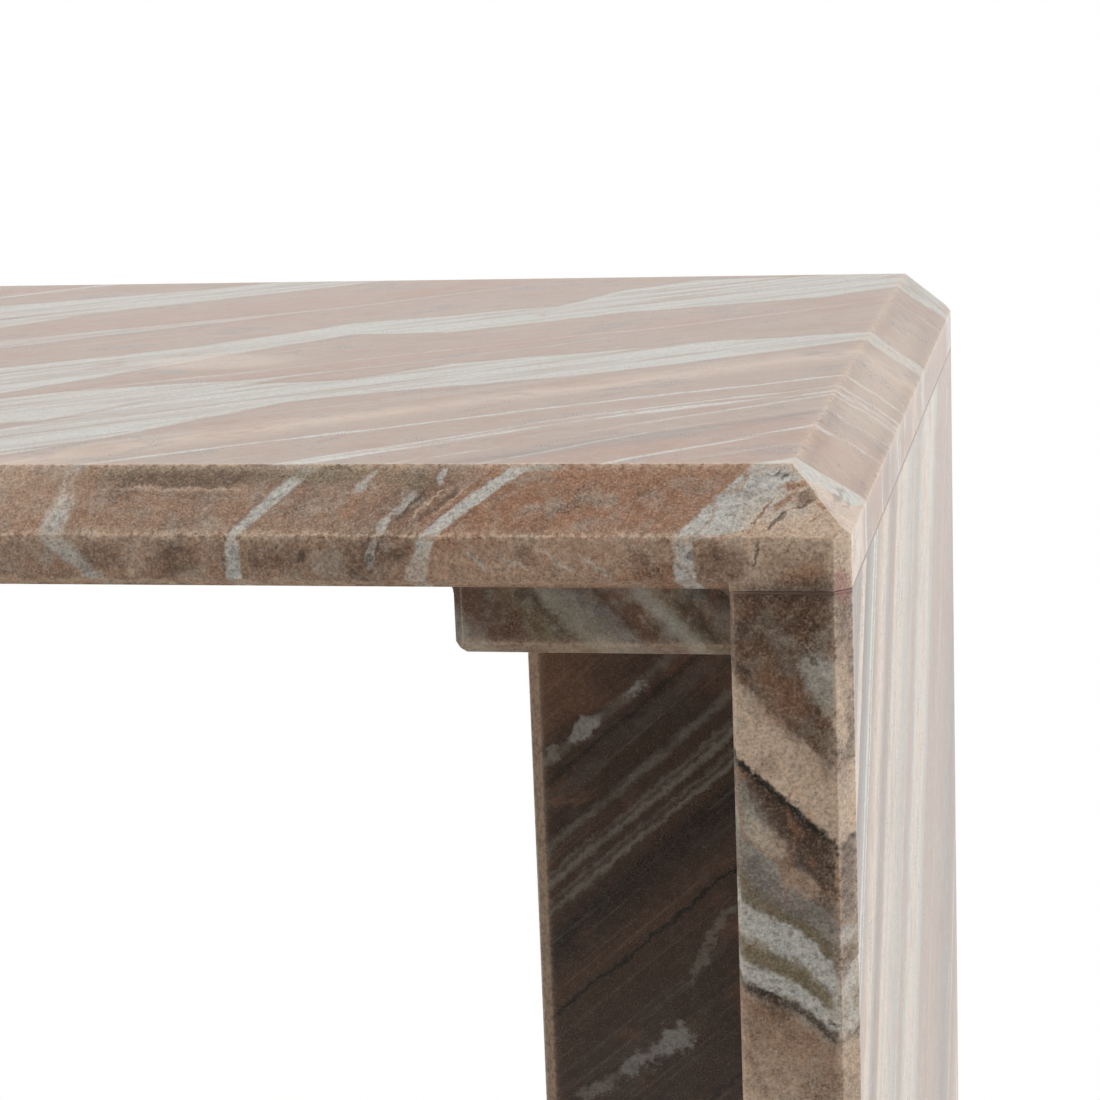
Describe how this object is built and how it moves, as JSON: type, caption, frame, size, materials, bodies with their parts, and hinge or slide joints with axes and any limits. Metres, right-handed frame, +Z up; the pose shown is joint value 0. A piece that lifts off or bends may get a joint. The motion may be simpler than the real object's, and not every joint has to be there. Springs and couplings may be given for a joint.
{
  "type": "accent table",
  "caption": "Rectangular marble accent table with a wide bevelled top edge, standing on T-shaped slab legs with stone cleats under the top.",
  "frame": {"origin": "on the floor, under the middle of the table", "axes": "+Z up, +X along the width to the viewer's right, front facing -Y"},
  "size_m": [0.56, 0.405, 0.51],
  "materials": {
    "top_stone": "honed brown marble with white-grey veins",
    "side_stone": "honed brown and grey marble with rusty and dark veins",
    "fin_stone": "honed dark brown marble with slanting pale veins",
    "cleat_stone": "honed olive-brown marble with soft grey veins",
    "epoxy": "tinted stone epoxy",
    "steel": "plain stainless dowel",
    "felt": "dense brown felt"
  },
  "bodies": {
    "root": {"top_slab": "top_stone", "right_side_slab": "side_stone", "right_fin": "fin_stone", "right_top_epoxy_bed": "epoxy", "right_front_cleat": "cleat_stone", "right_front_cleat_fillet": "epoxy", "right_front_corner_fillet": "epoxy", "right_front_top_pin": "steel", "right_front_pad": "felt", "right_rear_cleat": "cleat_stone", "right_rear_cleat_fillet": "epoxy", "right_rear_corner_fillet": "epoxy", "right_rear_top_pin": "steel", "right_rear_pad": "felt", "right_lower_fin_pin": "steel", "right_upper_fin_pin": "steel", "right_fin_pad": "felt", "left_side_slab": "side_stone", "left_fin": "fin_stone", "left_top_epoxy_bed": "epoxy", "left_front_cleat": "cleat_stone", "left_front_cleat_fillet": "epoxy", "left_front_corner_fillet": "epoxy", "left_front_top_pin": "steel", "left_front_pad": "felt", "left_rear_cleat": "cleat_stone", "left_rear_cleat_fillet": "epoxy", "left_rear_corner_fillet": "epoxy", "left_rear_top_pin": "steel", "left_rear_pad": "felt", "left_lower_fin_pin": "steel", "left_upper_fin_pin": "steel", "left_fin_pad": "felt"}
  },
  "joints": []
}
